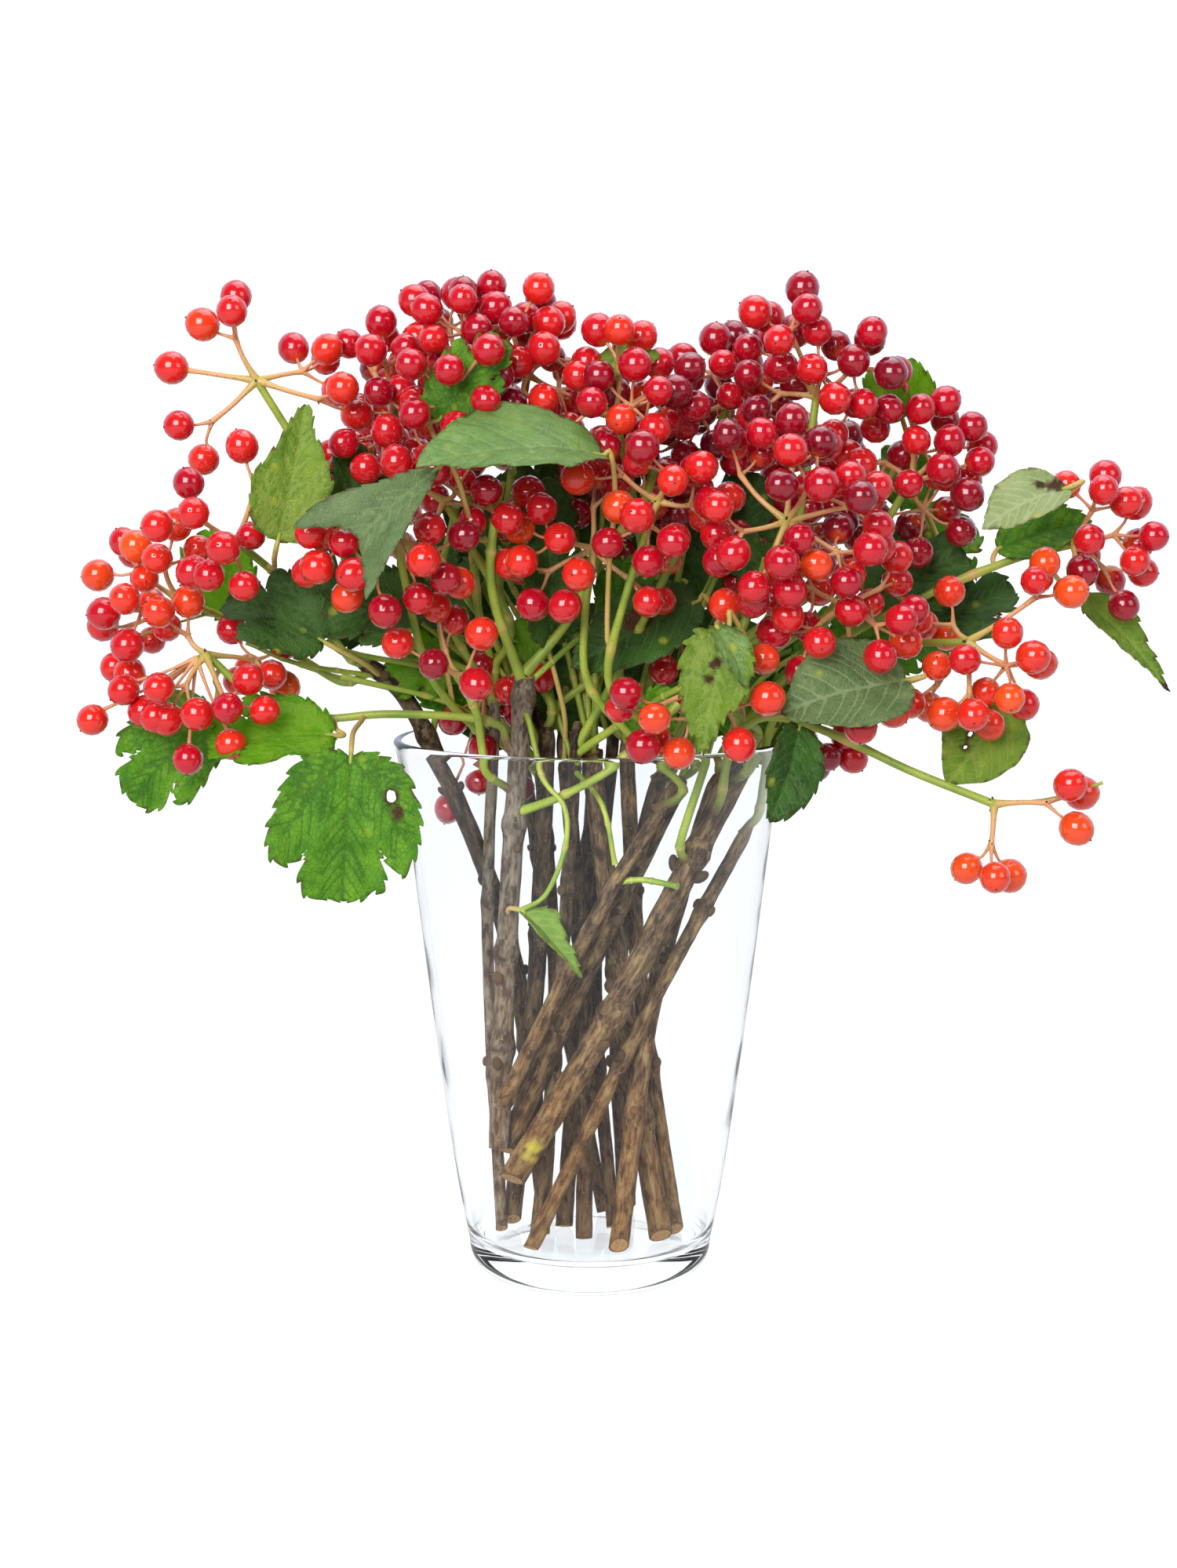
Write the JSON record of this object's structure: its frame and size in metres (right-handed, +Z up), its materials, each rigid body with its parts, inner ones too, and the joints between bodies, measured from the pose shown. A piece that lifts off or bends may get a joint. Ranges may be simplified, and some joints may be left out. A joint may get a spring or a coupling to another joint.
{
  "type": "berry branches in a vase",
  "caption": "Cut branches with umbels of round red berries and lobed green leaves, standing in a clear tapered glass vase.",
  "frame": {"origin": "centre of the vase's flat foot", "axes": "+Z up along the vase's axis, -Y towards the front, +X to the right seen from the front"},
  "size_m": [0.3555, 0.1606, 0.3304],
  "materials": {
    "glass": "clear, polished, fire-polished rim",
    "bark": "rough bark with fine streaks and nodes",
    "leaf": "satin leaf skin with sunk veins",
    "berry": "glossy thin-skinned berries on green stalks"
  },
  "bodies": {
    "root": {"cane_back_left": "bark", "cane_back_right": "bark", "cane_centre": "bark", "cane_centre_left": "bark", "cane_front_left": "bark", "cane_front_right": "bark", "cane_left_stout": "bark", "cane_mid_right": "bark", "cane_right_leaning": "bark", "cane_right_pale": "bark", "cane_right_stout": "bark", "cane_rim_left": "bark", "cane_short_right": "bark", "cane_thick_right": "bark", "cane_thin_left": "bark", "cane_thin_right": "bark", "leaf_centre": "leaf", "leaf_centre_hanging": "leaf", "leaf_far_right": "leaf", "leaf_hanging_left": "leaf", "leaf_inner_dark": "leaf", "leaf_inner_left": "leaf", "leaf_inner_upright": "leaf", "leaf_left_dark": "leaf", "leaf_left_low_dark": "leaf", "leaf_low_far_left": "leaf", "leaf_low_left": "leaf", "leaf_right_low": "leaf", "leaf_right_pale": "leaf", "leaf_rim_crinkled": "leaf", "leaf_rim_dark": "leaf", "leaf_rim_grey": "leaf", "leaf_top_left": "leaf", "leaf_top_right": "leaf", "leaf_upper_left": "leaf", "spray_back_left": "berry", "spray_back_right": "berry", "spray_centre": "berry", "spray_centre_low": "berry", "spray_centre_top": "berry", "spray_far_left": "berry", "spray_far_right": "berry", "spray_left_front": "berry", "spray_low_left": "berry", "spray_low_right": "berry", "spray_mid_left": "berry", "spray_mid_left_low": "berry", "spray_right_back": "berry", "spray_right_low": "berry", "spray_right_main": "berry", "spray_right_orange": "berry", "spray_right_up": "berry", "spray_rim_front": "berry", "spray_rim_left": "berry", "spray_top_left": "berry", "spray_top_mid": "berry", "spray_top_mid_left": "berry", "spray_top_right": "berry", "spray_upper_left": "berry", "vase": "glass"}
  },
  "joints": []
}
